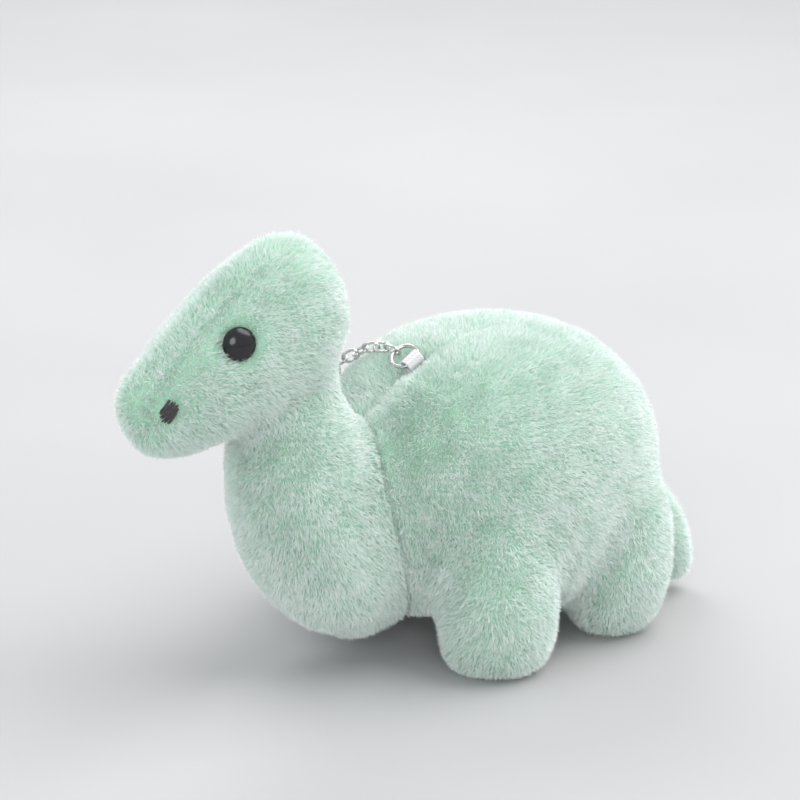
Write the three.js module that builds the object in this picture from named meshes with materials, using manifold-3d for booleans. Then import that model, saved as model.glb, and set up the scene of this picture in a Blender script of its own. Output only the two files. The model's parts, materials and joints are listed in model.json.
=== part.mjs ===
// A small plush long-necked dinosaur on a key ring, as the sewn, stuffed and metal pieces it is made of.
// Millimetres, +Z up. The animal stands on its four feet and faces -Y, so its left side is +X.
// The model is drawn about the middle of the torso and moved at the end, so that the origin is
// the centre of the bounding box's bottom face.
import * as THREE from "three";
import { mergeVertices } from "three/addons/utils/BufferGeometryUtils.js";
import Module from "manifold-3d";

const wasm = await Module();
wasm.setup();

// ---------------------------------------------------------------- driving dimensions
const GAP = 0.3; // between two pieces that lie against each other
const COVER = 2.4; // plush fabric: knitted backing and packed pile
const GROOVE_WIDTH = 0.2; // of a groove, as the cosine of its half angle
const SEAM = 0.4; // slot between two panels, where their edges turn in
const INNER_DETAIL = 2 / 3; // share of facets on linings and stuffing
const FOOT_FLAT = 2; // how far the weight of the toy presses a foot flat

const TORSO_WIDTH = 74;
const TORSO_HEIGHT = 77;
const TORSO_MIDDLE = 40; // its centreline above the table
const TORSO_FRONT = -47;
const TORSO_BACK = 39.5;
const BELLY_PANEL_WIDTH = 34;
const BELLY_PANEL_TOP = 15; // the belly panel's highest edge above the table

const FRONT_FOOT = [30, -23]; // middle of the left front foot, x and y
const HIND_FOOT = [23, 16]; // middle of the left hind foot
const FRONT_LEG_RADIUS = 15.2;
const HIND_LEG_RADIUS = 14.4;

const HEAD_PANEL_WIDTH = 10; // the strip along the top of the head
const HEAD_TILT = THREE.MathUtils.degToRad(30); // snout below the level of the skull

const EYE_DIAMETER = 8;
const EYE_HEIGHT = 3.2;
const EYE_RIM = 0.6; // straight edge under the dome
const EYE_POST_DIAMETER = 3;
const EYE_POST_LENGTH = 6.2;
const EYE_SINK = 1.4; // the flange presses this far into the pile
const WASHER_DIAMETER = 11;
const WASHER_THICKNESS = 1.4;
const WASHER_DEPTH = COVER - EYE_SINK + 4 + WASHER_THICKNESS; // below the eye's flange
const NOSTRIL_SIZE = [5.3, 4.3, 1.1]; // length, height and depth of the embroidered spot
const NOSTRIL_RISE = THREE.MathUtils.degToRad(30); // how its length rises towards the back
const NOSTRIL_SINK = 0.35; // its middle lies this far under the tips of the pile

const TAPE_WIDTH = 4.8;
const TAPE_THICKNESS = 0.7;
const TAPE_LOOP_RADIUS = 1.3; // inside the fold that holds the ring
const TAPE_STEM = 0.7; // from the seam up to the fold
const TAPE_TAIL = 7; // sewn in between the two side panels
const TAPE_RING_DIAMETER = 7.6; // outside
const TAPE_RING_WIRE = 1;
const LINK_LENGTH = 5.1; // outside
const LINK_WIDTH = 3.3; // outside
const LINK_WIRE = 0.8;
const LINK_COUNT = 6;
const LINK_PLAY = 0.24; // clearance where two wires bear on each other
const END_RING_DIAMETER = 7;
const END_RING_WIRE = 0.9;
const SPLIT_RING_DIAMETER = 26; // outside
const SPLIT_RING_WIRE = 1.3;
const SPLIT_RING_TURNS = 2;
const TAPE_RING_RISE = THREE.MathUtils.degToRad(14); // the ring's slope up from the back
const TAPE_RING_SETBACK = 0.5; // how far the ring's wire sits back in the fold of the tape
const CHAIN_LIFT = 2.1; // the chain's centreline above the plush
const SPLIT_RING_HANGS = new THREE.Vector3(-0.42, -0.15, -0.9); // from the chain to its middle
const SPLIT_RING_LIES = new THREE.Vector3(-0.4, 0.92, 0); // across it, from the neck to the shoulder
// What swings on the tape ring turns about this direction, which carries it up and clear of the head.
const CHAIN_SWINGS_ABOUT = new THREE.Vector3(0, 0.906, -0.423);
const SPLIT_RING_PLAY = 0.4; // its two turns sit back from the end ring's curved wire

// ---------------------------------------------------------------- materials
const plush = new THREE.MeshStandardMaterial({ color: 0xb9dccb, roughness: 0.95, metalness: 0 });
const fibre = new THREE.MeshStandardMaterial({ color: 0xf2f2ee, roughness: 1, metalness: 0 });
const blackPlastic = new THREE.MeshStandardMaterial({ color: 0x0b0b0c, roughness: 0.12, metalness: 0 });
const whitePlastic = new THREE.MeshStandardMaterial({ color: 0xe9e9e6, roughness: 0.5, metalness: 0 });
const blackThread = new THREE.MeshStandardMaterial({ color: 0x141414, roughness: 0.6, metalness: 0 });
const ribbon = new THREE.MeshStandardMaterial({ color: 0xe6e3ec, roughness: 0.6, metalness: 0 });
const nickel = new THREE.MeshStandardMaterial({ color: 0xc9c9cc, roughness: 0.22, metalness: 1 });

// ---------------------------------------------------------------- solids
// A geometry as a manifold solid: its vertices merged by position alone.
function solid(geometry) {
  const bare = new THREE.BufferGeometry();
  bare.setAttribute("position", geometry.getAttribute("position"));
  if (geometry.index) bare.setIndex(geometry.index);
  const merged = mergeVertices(bare, 1e-4);
  return new wasm.Manifold(
    new wasm.Mesh({
      numProp: 3,
      vertProperties: merged.attributes.position.array,
      triVerts: new Uint32Array(merged.index.array),
    }),
  );
}

// A manifold solid as a geometry again.
function geometryOf(shape) {
  const { numProp, numVert, vertProperties, triVerts } = shape.getMesh();
  const positions = new Float32Array(numVert * 3);
  for (let i = 0; i < numVert; i++) {
    positions.set(vertProperties.subarray(i * numProp, i * numProp + 3), i * 3);
  }
  const geometry = new THREE.BufferGeometry();
  geometry.setAttribute("position", new THREE.BufferAttribute(positions, 3));
  geometry.setIndex(new THREE.BufferAttribute(triVerts, 1));
  geometry.computeVertexNormals();
  return geometry;
}

// A box from its lowest to its highest corner.
function block([x0, y0, z0], [x1, y1, z1]) {
  const box = new THREE.BoxGeometry(x1 - x0, y1 - y0, z1 - z0);
  return solid(box.translate((x0 + x1) / 2, (y0 + y1) / 2, (z0 + z1) / 2));
}

// A plump stuffed form: oval rings along a spine, drawn in to a rounded end at both ends.
// A station is [x, y, z, half width, half height, depth of the groove along the top, if any].
// blunt is 2 for elliptical ends, more for fuller ones;
// square is 2 for elliptical sections, more for boxier ones. inset shrinks the whole form by about that much.
function plump({ stations, blunt = 2, square = 2, around = 18, along = 12 }, inset = 0) {
  const spine = new THREE.CatmullRomCurve3(stations.map(([x, y, z]) => new THREE.Vector3(x, y, z)));
  const sizes = new THREE.CatmullRomCurve3(stations.map((s) => new THREE.Vector3(s[3], s[4], s[5] ?? 0)));
  const shortening = inset / spine.getLength();
  const detail = inset > 0 ? INNER_DETAIL : 1;
  const geometry = new THREE.SphereGeometry(1, Math.round(around * detail), Math.round(along * detail));
  const position = geometry.getAttribute("position");
  for (let i = 0; i < position.count; i++) {
    const unit = new THREE.Vector3().fromBufferAttribute(position, i);
    const share = (1 - unit.y) / 2;
    const cap = (1 - Math.abs(unit.y) ** blunt) ** (1 / blunt);
    const angle = Math.atan2(unit.z, unit.x);
    const boxy = (Math.abs(Math.cos(angle)) ** square + Math.abs(Math.sin(angle)) ** square) ** (-1 / square);
    const wanted = shortening + share * (1 - 2 * shortening);
    const onSpine = THREE.MathUtils.clamp(wanted, 0, 1);
    const beyond = (wanted - onSpine) * spine.getLength();
    const forward = spine.getTangent(onSpine);
    const side = new THREE.Vector3(1, 0, 0).addScaledVector(forward, -forward.x).normalize();
    const up = new THREE.Vector3().crossVectors(forward, side);
    const size = sizes.getPoint(onSpine);
    const topward = unit.z * up.z > 0 ? Math.sign(unit.z) : 0;
    const groove = topward * size.z * cap * Math.exp(-((Math.cos(angle) / GROOVE_WIDTH) ** 2));
    const point = spine
      .getPoint(onSpine)
      .addScaledVector(forward, beyond)
      .addScaledVector(side, Math.cos(angle) * boxy * cap * (size.x - inset))
      .addScaledVector(up, Math.sin(angle) * boxy * cap * (size.y - inset) - groove);
    position.setXYZ(i, point.x, point.y, point.z);
  }
  return solid(geometry);
}

// The same form mirrored to the animal's other side.
function mirrored({ stations, ...rest }) {
  return { ...rest, stations: stations.map(([x, ...others]) => [-x, ...others]) };
}

// The three nested surfaces of a stuffed form: its outside, its outside with room for a neighbour,
// the lining that the stuffing presses on, and the stuffing itself.
function stuffed(form) {
  return {
    outside: plump(form),
    clearance: plump(form, -GAP),
    lining: plump(form, COVER),
    filling: plump(form, COVER + GAP),
  };
}

// ---------------------------------------------------------------- the stuffed forms
const torso = stuffed({
  blunt: 2.2,
  square: 2.35,
  around: 24,
  along: 14,
  stations: [
    [0, TORSO_FRONT, 31, TORSO_WIDTH * 0.41, TORSO_HEIGHT * 0.375, 7],
    [0, -20, TORSO_MIDDLE - 1, TORSO_WIDTH / 2, TORSO_HEIGHT * 0.485, 5],
    [0, 10, TORSO_MIDDLE - 1.5, TORSO_WIDTH / 2, TORSO_HEIGHT * 0.49, 2],
    [0, TORSO_BACK, 31, TORSO_WIDTH * 0.41, TORSO_HEIGHT * 0.37, 1],
  ],
});

const neck = stuffed({
  blunt: 2.6,
  stations: [
    [0, -37, 15, 16.5, 13],
    [0, -48, 22, 20.5, 18.5],
    [0, -56, 38, 19.5, 19.5],
    [0, -61, 55, 17.5, 18],
    [0, -62, 80, 16, 16],
  ],
});

const head = stuffed({
  blunt: 3,
  around: 20,
  along: 12,
  stations: [
    [0, -48, 90, 14.5, 15.5],
    [0, -61, 88.5, 16.2, 19.5],
    [0, -78, 80.5, 15.2, 18],
    [0, -94, 72.5, 12.5, 14],
    [0, -106, 66.5, 11, 12.5],
  ],
});

const frontLeg = {
  blunt: 3.4,
  around: 16,
  along: 8,
  stations: [
    [15, -14, 46, 13, 13],
    [26, -20, 26, FRONT_LEG_RADIUS, FRONT_LEG_RADIUS],
    [FRONT_FOOT[0], FRONT_FOOT[1], -FOOT_FLAT, FRONT_LEG_RADIUS - 0.5, FRONT_LEG_RADIUS - 0.5],
  ],
};

const hindLeg = {
  blunt: 3,
  around: 16,
  along: 8,
  stations: [
    [14, 12, 48, 15, 15],
    [22, 17, 26, HIND_LEG_RADIUS + 1.5, HIND_LEG_RADIUS + 1.5],
    [HIND_FOOT[0], HIND_FOOT[1], -FOOT_FLAT, HIND_LEG_RADIUS - 1, HIND_LEG_RADIUS - 1],
  ],
};

const tail = stuffed({
  blunt: 2.2,
  around: 14,
  along: 8,
  stations: [
    [2, 22, 36, 13, 13],
    [6, 36, 22, 12, 12],
    [10, 45, 10, 8, 8],
    [13, 49, 2, 5, 5],
  ],
});

// ---------------------------------------------------------------- the scene graph
const root = new THREE.Group();
const FAR = 200; // beyond the whole toy

function addPiece(name, material, shape, group = root) {
  const mesh = new THREE.Mesh(shape.isBufferGeometry ? shape : geometryOf(shape), material);
  mesh.name = name;
  group.add(mesh);
  return mesh;
}

const leftHalf = block([SEAM / 2, -FAR, -FAR], [FAR, FAR, FAR]);
const rightHalf = block([-FAR, -FAR, -FAR], [-SEAM / 2, FAR, FAR]);
const halves = { left: leftHalf, right: rightHalf };
const aboveTable = block([-FAR, -FAR, 0], [FAR, FAR, FAR]);
const aboveSole = block([-FAR, -FAR, COVER], [FAR, FAR, FAR]);
const aboveInnerSole = block([-FAR, -FAR, COVER + GAP], [FAR, FAR, FAR]);

// ---------------------------------------------------------------- head
// The strip over the head runs from the nose over the skull to the nape, between two seams.
const HEAD_STRIP_FLOOR = new THREE.Vector3(0, -79.5, 83.1); // a point on the strip's lower limit
function headStrip(margin) {
  const strip = new THREE.BoxGeometry(HEAD_PANEL_WIDTH + 2 * margin, FAR, FAR);
  strip.translate(0, 0, FAR / 2 - margin);
  strip.rotateX(HEAD_TILT);
  strip.translate(...HEAD_STRIP_FLOOR.toArray());
  return solid(strip);
}

const EYE_AT = new THREE.Vector3(0, -80.5, 85.5); // on the mid-plane, level with the eyes
const EYE_DIRECTION = new THREE.Vector3(0.95, -0.2, 0.16).normalize();
const NOSTRIL_AT = new THREE.Vector3(0, -97, 73);
const NOSTRIL_DIRECTION = new THREE.Vector3(0.93, -0.34, 0.1).normalize();

// Where a ray from inside a form leaves its surface.
function surfacePoint(shape, from, direction) {
  const mesh = new THREE.Mesh(geometryOf(shape), new THREE.MeshBasicMaterial({ side: THREE.DoubleSide }));
  const hits = new THREE.Raycaster(from, direction.clone().normalize()).intersectObject(mesh);
  return hits[hits.length - 1].point;
}

function toSide(vector, side) {
  return new THREE.Vector3(side * vector.x, vector.y, vector.z);
}

// Turns a geometry drawn about +Z so that +Z points along direction, and moves it to place.
function aimed(geometry, place, direction) {
  const turn = new THREE.Quaternion().setFromUnitVectors(new THREE.Vector3(0, 0, 1), direction);
  return geometry.clone().applyQuaternion(turn).translate(place.x, place.y, place.z);
}

function turned(profile, segments = 16) {
  return new THREE.LatheGeometry(
    profile.map(([radius, height]) => new THREE.Vector2(radius, height)),
    segments,
  ).rotateX(Math.PI / 2);
}

// A safety eye: a domed button on a post, drawn with its flange on the plane z = 0.
function eyeProfile() {
  const radius = EYE_DIAMETER / 2;
  const dome = [];
  const steps = 5;
  for (let i = 0; i <= steps; i++) {
    const angle = (i / steps) * (Math.PI / 2);
    dome.push([radius * Math.cos(angle), EYE_RIM + (EYE_HEIGHT - EYE_RIM) * Math.sin(angle)]);
  }
  dome[steps][0] = 0;
  const post = EYE_POST_DIAMETER / 2;
  return [[0, -EYE_POST_LENGTH], [post, -EYE_POST_LENGTH], [post, 0], [radius, 0], ...dome];
}

const eyeShape = turned(eyeProfile());
const washerBore = EYE_POST_DIAMETER / 2 + GAP;
const washerShape = turned(
  [
    [washerBore, 0],
    [WASHER_DIAMETER / 2, 0],
    [WASHER_DIAMETER / 2, WASHER_THICKNESS],
    [washerBore, WASHER_THICKNESS],
    [washerBore, 0],
  ],
  14,
);

// Turns a geometry drawn with its length along x and its depth along z onto one side of the snout.
function onSnout(geometry, side, direction, place) {
  geometry.rotateZ(NOSTRIL_RISE).rotateX(Math.PI / 2).rotateZ(Math.PI / 2).scale(side, 1, 1);
  if (side < 0) geometry.index.array.reverse();
  const turn = new THREE.Quaternion().setFromUnitVectors(new THREE.Vector3(side, 0, 0), direction);
  return geometry.applyQuaternion(turn).translate(place.x, place.y, place.z);
}

let headFilling = head.filling;
const headHoles = {};
for (const [name, side] of [
  ["left", 1],
  ["right", -1],
]) {
  const direction = toSide(EYE_DIRECTION, side);
  const place = surfacePoint(head.outside, EYE_AT, direction).addScaledVector(direction, -EYE_SINK);
  addPiece(`eye_${name}`, blackPlastic, aimed(eyeShape, place, direction));
  const washerPlace = place.clone().addScaledVector(direction, -WASHER_DEPTH);
  addPiece(`eye_washer_${name}`, whitePlastic, aimed(washerShape, washerPlace, direction));

  const hole = new THREE.CylinderGeometry(washerBore, washerBore, 30, 20).rotateX(Math.PI / 2);
  headHoles[name] = solid(aimed(hole, place, direction));
  const seat = new THREE.CylinderGeometry(EYE_DIAMETER / 2 + GAP, EYE_DIAMETER / 2 + GAP, 8, 20);
  const seatPlace = place.clone().addScaledVector(direction, 4 - GAP);
  headHoles[name] = headHoles[name].add(solid(aimed(seat.rotateX(Math.PI / 2), seatPlace, direction)));
  const pocketRadius = WASHER_DIAMETER / 2 + GAP;
  const pocket = new THREE.CylinderGeometry(pocketRadius, pocketRadius, 12, 20).rotateX(Math.PI / 2);
  const pocketPlace = washerPlace.clone().addScaledVector(direction, 6 - GAP);
  headFilling = headFilling.subtract(solid(aimed(pocket, pocketPlace, direction)));
  headFilling = headFilling.subtract(headHoles[name]);

  const nostrilDirection = toSide(NOSTRIL_DIRECTION, side);
  const nostrilPlace = surfacePoint(head.outside, NOSTRIL_AT, nostrilDirection);
  nostrilPlace.addScaledVector(nostrilDirection, -NOSTRIL_SINK);
  const [long, high, deep] = NOSTRIL_SIZE;
  const spot = new THREE.SphereGeometry(0.5, 12, 8).scale(long, high, deep);
  addPiece(`nostril_${name}`, blackThread, onSnout(spot, side, nostrilDirection, nostrilPlace));
  const hollow = new THREE.CylinderGeometry(0.5, 0.5, 6, 16).rotateX(Math.PI / 2);
  hollow.scale(long + 2 * GAP, high + 2 * GAP, 1).translate(0, 0, 3 - deep / 2 - GAP);
  headHoles[name] = headHoles[name].add(solid(onSnout(hollow, side, nostrilDirection, nostrilPlace)));
}

const headShell = head.outside.subtract(head.lining);
addPiece("head_top_panel", plush, headShell.intersect(headStrip(0)));
const headSides = headShell.subtract(headStrip(SEAM));
for (const name of ["left", "right"]) {
  addPiece(`head_side_${name}`, plush, headSides.intersect(halves[name]).subtract(headHoles[name]));
}
addPiece("head_stuffing", fibre, headFilling);

// ---------------------------------------------------------------- neck
const besideNeck = head.clearance.add(torso.clearance);
const neckShell = neck.outside.subtract(neck.lining).subtract(besideNeck);
for (const name of ["left", "right"]) {
  addPiece(`neck_${name}`, plush, neckShell.intersect(halves[name]));
}
addPiece("neck_stuffing", fibre, neck.filling.subtract(besideNeck));

// ---------------------------------------------------------------- torso
const bellyHalf = BELLY_PANEL_WIDTH / 2;
const bellyRegion = block([-bellyHalf, -FAR, -FAR], [bellyHalf, FAR, BELLY_PANEL_TOP]);
const besideBelly = block([-bellyHalf - SEAM, -FAR, -FAR], [bellyHalf + SEAM, FAR, BELLY_PANEL_TOP + SEAM]);
const torsoShell = torso.outside.subtract(torso.lining);

// The tape's two ends come out of the back seam ahead of its highest point.
const TORSO_CENTRE = new THREE.Vector3(0, -3, TORSO_MIDDLE);
const TAPE_DIRECTION = new THREE.Vector3(0, -0.62, 0.78).normalize();
const tapeFoot = surfacePoint(torso.outside, TORSO_CENTRE, TAPE_DIRECTION);
const tapeNormal = new THREE.Vector3(0, -0.52, 0.85).normalize();
const alongSeam = new THREE.Vector3(0, -tapeNormal.z, tapeNormal.y); // forward and down the back
const toRight = new THREE.Vector3(-1, 0, 0);

const TAPE_EYE_HEIGHT = TAPE_STEM + TAPE_LOOP_RADIUS + TAPE_THICKNESS;
const TAPE_NECK = 0.5; // half the angle at the foot of the fold where the two layers part

// The tape as a flat strip folded double round the ring, in the plane across the seam.
function tapeOutline() {
  const outer = TAPE_LOOP_RADIUS + TAPE_THICKNESS;
  const half = TAPE_THICKNESS + SEAM / 4;
  const outline = new THREE.Shape();
  outline.moveTo(half, -TAPE_TAIL);
  outline.lineTo(half, TAPE_STEM / 3);
  outline.absarc(0, TAPE_EYE_HEIGHT, outer, -Math.PI / 2 + TAPE_NECK, Math.PI * 1.5 - TAPE_NECK, false);
  outline.lineTo(-half, TAPE_STEM / 3);
  outline.lineTo(-half, -TAPE_TAIL);
  const eye = new THREE.Path();
  eye.absarc(0, TAPE_EYE_HEIGHT, TAPE_LOOP_RADIUS, 0, Math.PI * 2, true);
  outline.holes.push(eye);
  return outline;
}

const tapeBasis = new THREE.Matrix4().makeBasis(toRight.clone().negate(), tapeNormal, alongSeam);
const tapeShape = new THREE.ExtrudeGeometry(tapeOutline(), {
  depth: TAPE_WIDTH,
  bevelEnabled: false,
  curveSegments: 10,
}).translate(0, 0, -TAPE_WIDTH / 2);
if (tapeBasis.determinant() < 0) throw new Error("the tape's axes are left-handed");
tapeShape.applyMatrix4(tapeBasis).translate(tapeFoot.x, tapeFoot.y, tapeFoot.z);
addPiece("tape_loop", ribbon, tapeShape);

const tapeSlotHalf = TAPE_THICKNESS + SEAM / 4 + GAP;
const tapeSlot = new THREE.BoxGeometry(2 * tapeSlotHalf, 2 * (TAPE_TAIL + GAP), TAPE_WIDTH + 2 * GAP);
tapeSlot.applyMatrix4(tapeBasis).translate(tapeFoot.x, tapeFoot.y, tapeFoot.z);
const tapeRoom = solid(tapeSlot);

const torsoSides = torsoShell.subtract(besideBelly).subtract(tapeRoom);
for (const name of ["left", "right"]) {
  addPiece(`body_side_${name}`, plush, torsoSides.intersect(halves[name]));
}
addPiece("belly_panel", plush, torsoShell.intersect(bellyRegion));
addPiece("body_stuffing", fibre, torso.filling.subtract(tapeRoom));

// ---------------------------------------------------------------- legs
for (const [place, form] of [
  ["front_left", frontLeg],
  ["front_right", mirrored(frontLeg)],
  ["hind_left", hindLeg],
  ["hind_right", mirrored(hindLeg)],
]) {
  const leg = stuffed(form);
  const lining = leg.lining.intersect(aboveSole);
  const cover = leg.outside.intersect(aboveTable).subtract(lining);
  addPiece(`leg_${place}`, plush, cover.subtract(torso.clearance));
  const filling = leg.filling.intersect(aboveInnerSole);
  addPiece(`leg_stuffing_${place}`, fibre, filling.subtract(torso.clearance));
}

// ---------------------------------------------------------------- tail
const hindLegs = stuffed(hindLeg).clearance.add(stuffed(mirrored(hindLeg)).clearance);
const besideTail = torso.clearance.add(hindLegs);
addPiece("tail_cover", plush, tail.outside.intersect(aboveTable).subtract(tail.lining).subtract(besideTail));
addPiece("tail_stuffing", fibre, tail.filling.subtract(besideTail));

// ---------------------------------------------------------------- key ring hardware
// A closed wire ring drawn in the xy plane, stretched along x into a long link.
function wireRing(outsideLength, outsideWidth, wire, sides = 8, segments = 20) {
  const radius = (outsideWidth - wire) / 2;
  const stretch = (outsideLength - outsideWidth) / 2;
  const ring = new THREE.TorusGeometry(radius, wire / 2, sides, segments);
  const position = ring.getAttribute("position");
  for (let i = 0; i < position.count; i++) {
    const x = position.getX(i);
    if (Math.abs(x) > 1e-4) position.setX(i, x + Math.sign(x) * stretch);
  }
  return ring;
}

// Places a ring drawn in the xy plane: its x along `forward` and its y along `wide`.
function laid(geometry, centre, forward, wide) {
  const normal = new THREE.Vector3().crossVectors(forward, wide);
  const basis = new THREE.Matrix4().makeBasis(forward, wide, normal).setPosition(centre);
  return geometry.applyMatrix4(basis);
}

// Every hanging piece swings on the one before it: where, and about which direction.
function addHung(name, geometry, pivot, axis) {
  const mesh = addPiece(name, nickel, geometry);
  mesh.userData.hinge = { pivot: pivot.clone(), axis: axis.clone().normalize() };
}

// The ring in the tape lies over to the right, a little raised off the back.
const ringOutward = toRight
  .clone()
  .multiplyScalar(Math.cos(TAPE_RING_RISE))
  .addScaledVector(tapeNormal, Math.sin(TAPE_RING_RISE));
const tapeEye = tapeFoot.clone().addScaledVector(tapeNormal, TAPE_EYE_HEIGHT);
const tapeRingRadius = (TAPE_RING_DIAMETER - TAPE_RING_WIRE) / 2;
const tapeRingCentre = tapeEye.clone().addScaledVector(ringOutward, tapeRingRadius - TAPE_RING_SETBACK);
const downTheBack = alongSeam.clone().negate();
const tapeRing = wireRing(TAPE_RING_DIAMETER, TAPE_RING_DIAMETER, TAPE_RING_WIRE, 8, 24);
addHung("tape_ring", laid(tapeRing, tapeRingCentre, ringOutward, alongSeam), tapeEye, downTheBack);

// The chain runs over the right shoulder, just clear of the plush. Each point of its route is
// over the spot where a ray from the torso's centre to the given point leaves the torso.
function overTorso(x, y, z, lift) {
  const direction = new THREE.Vector3(x, y, z).sub(TORSO_CENTRE).normalize();
  return surfacePoint(torso.outside, TORSO_CENTRE, direction).addScaledVector(direction, lift);
}
const ringFarSide = tapeRingCentre.clone().addScaledVector(ringOutward, tapeRingRadius);
const firstBend = overTorso(-12, -29, 71, CHAIN_LIFT);
const chainStart = ringFarSide
  .clone()
  .addScaledVector(firstBend.clone().sub(ringFarSide).normalize(), -(TAPE_RING_WIRE + LINK_PLAY) / 2);
const chainRoute = new THREE.CatmullRomCurve3([
  chainStart,
  firstBend,
  overTorso(-19, -32, 65, CHAIN_LIFT + 0.6),
  overTorso(-23, -36, 59, CHAIN_LIFT + 3.5),
  overTorso(-26, -39, 52, CHAIN_LIFT + 6),
]);
const routeLength = chainRoute.getLength();

// The direction that lifts the chain's far end off the plush when it is the axis of a turn.
function liftAxis(forward, place) {
  const outward = place.clone().sub(TORSO_CENTRE);
  return new THREE.Vector3().crossVectors(forward, outward).normalize();
}

const linkPitch = LINK_LENGTH - 2 * LINK_WIRE - LINK_PLAY;
let travelled = 0;
let joint = chainStart;
for (let i = 1; i <= LINK_COUNT; i++) {
  travelled += linkPitch;
  const next = chainRoute.getPointAt(travelled / routeLength);
  const forward = next.clone().sub(joint).normalize();
  const centre = joint.clone().lerp(next, 0.5);
  const across = liftAxis(forward, centre);
  const wide = i % 2 === 1 ? new THREE.Vector3().crossVectors(across, forward) : across;
  const link = laid(wireRing(LINK_LENGTH, LINK_WIDTH, LINK_WIRE, 6, 16), centre, forward, wide);
  addHung(`chain_link_${i}`, link, joint, CHAIN_SWINGS_ABOUT);
  joint = next;
}

// The ring that joins the chain to the split ring, on edge to the plush.
const endRingPitch = END_RING_DIAMETER - 2 * END_RING_WIRE - LINK_PLAY;
const endRingEnd = chainRoute.getPointAt((travelled + endRingPitch) / routeLength);
const endForward = endRingEnd.clone().sub(joint).normalize();
const endAcross = liftAxis(endForward, joint);
const endWide = new THREE.Vector3().crossVectors(endAcross, endForward);
const endRingCentre = joint.clone().lerp(endRingEnd, 0.5);
const endRing = wireRing(END_RING_DIAMETER, END_RING_DIAMETER, END_RING_WIRE, 6, 20);
addHung("end_ring", laid(endRing, endRingCentre, endForward, endWide), joint, CHAIN_SWINGS_ABOUT);

// The split ring: one wire wound twice round, flat side by side, its ends away from the chain.
class RingCoil extends THREE.Curve {
  getPoint(t, target = new THREE.Vector3()) {
    const angle = t * SPLIT_RING_TURNS * Math.PI * 2;
    const radius = (SPLIT_RING_DIAMETER - SPLIT_RING_WIRE) / 2;
    const rise = (SPLIT_RING_WIRE + 0.1) * (t - 0.5) * SPLIT_RING_TURNS;
    return target.set(radius * Math.cos(angle), radius * Math.sin(angle), rise);
  }
}
const wireSection = new THREE.Shape().absarc(0, 0, SPLIT_RING_WIRE / 2, 0, Math.PI * 2, false);
const coil = new THREE.ExtrudeGeometry(wireSection, {
  extrudePath: new RingCoil(),
  steps: 48,
  curveSegments: 6,
});
const coilForward = SPLIT_RING_HANGS.clone().normalize();
const coilAcross = SPLIT_RING_LIES.clone()
  .addScaledVector(coilForward, -SPLIT_RING_LIES.dot(coilForward))
  .normalize();
const coilCentre = endRingEnd
  .clone()
  .addScaledVector(endForward, -(SPLIT_RING_WIRE + LINK_PLAY) / 2 - SPLIT_RING_PLAY)
  .addScaledVector(coilForward, (SPLIT_RING_DIAMETER - SPLIT_RING_WIRE) / 2);
addHung("split_ring", laid(coil, coilCentre, coilForward, coilAcross), endRingEnd, CHAIN_SWINGS_ABOUT);

// ---------------------------------------------------------------- the part's frame
// The origin is the middle of the bounding box's bottom face, on the table.
const box = new THREE.Box3().setFromObject(root);
root.position.set(-(box.min.x + box.max.x) / 2, -(box.min.y + box.max.y) / 2, -box.min.z);

const toy = new THREE.Group();
toy.add(root);
export default toy;
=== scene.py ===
"""The looks of a small plush long-necked dinosaur on a key ring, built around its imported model.

Metres, +Z up. The toy stands on four feet and faces -Y, so its left side is +X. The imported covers
are remeshed into one closed skin, which is blown up as cloth, sewn down along its seams and parted
into its padded pieces. The pile on them is real mesh: one thin tapered strip for each lock of fibres.
"""
import json
import math
from collections import namedtuple

import bmesh
import bpy
import numpy as np
from mathutils import Matrix, Vector
from mathutils.bvhtree import BVHTree


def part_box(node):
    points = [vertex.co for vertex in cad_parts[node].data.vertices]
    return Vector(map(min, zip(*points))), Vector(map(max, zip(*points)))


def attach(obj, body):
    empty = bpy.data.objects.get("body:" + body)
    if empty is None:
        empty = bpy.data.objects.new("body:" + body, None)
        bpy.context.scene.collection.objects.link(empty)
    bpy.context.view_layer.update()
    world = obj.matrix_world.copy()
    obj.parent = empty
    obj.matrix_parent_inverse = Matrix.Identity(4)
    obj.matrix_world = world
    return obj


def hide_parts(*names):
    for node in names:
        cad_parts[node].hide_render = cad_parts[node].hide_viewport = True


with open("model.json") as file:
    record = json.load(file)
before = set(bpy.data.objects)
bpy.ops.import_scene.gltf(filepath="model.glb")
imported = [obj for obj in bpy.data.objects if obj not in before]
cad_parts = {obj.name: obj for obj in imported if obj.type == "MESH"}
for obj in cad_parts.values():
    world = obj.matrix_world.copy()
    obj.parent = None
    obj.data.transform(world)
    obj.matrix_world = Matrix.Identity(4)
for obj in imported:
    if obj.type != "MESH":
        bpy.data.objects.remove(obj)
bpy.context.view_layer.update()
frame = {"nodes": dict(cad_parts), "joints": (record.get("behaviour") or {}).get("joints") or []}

MM = 0.001

# ------------------------------------------------------------------ sizes
SKIN_VOXEL = 2.4 * MM  # the cloth's mesh, before one subdivision
SKIN_INSET = 1.6 * MM  # the backing fabric lies this far under the tips of the pile
PRESSURE = 4.0  # of the stuffing on the cloth
SWELL_FRAMES = 14
MOST_SWELL = 0.7 * MM
MERGING_PASSES = 30  # of smoothing where one part runs into the next
BACKING = 0.8 * MM  # between the backing fabric and the stuffing behind it
SOLE_GAP = 1.0 * MM  # the backing under the feet over the floor
FLOOR_GAP = 0.15 * MM  # the pile's lowest tips over the floor

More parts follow.
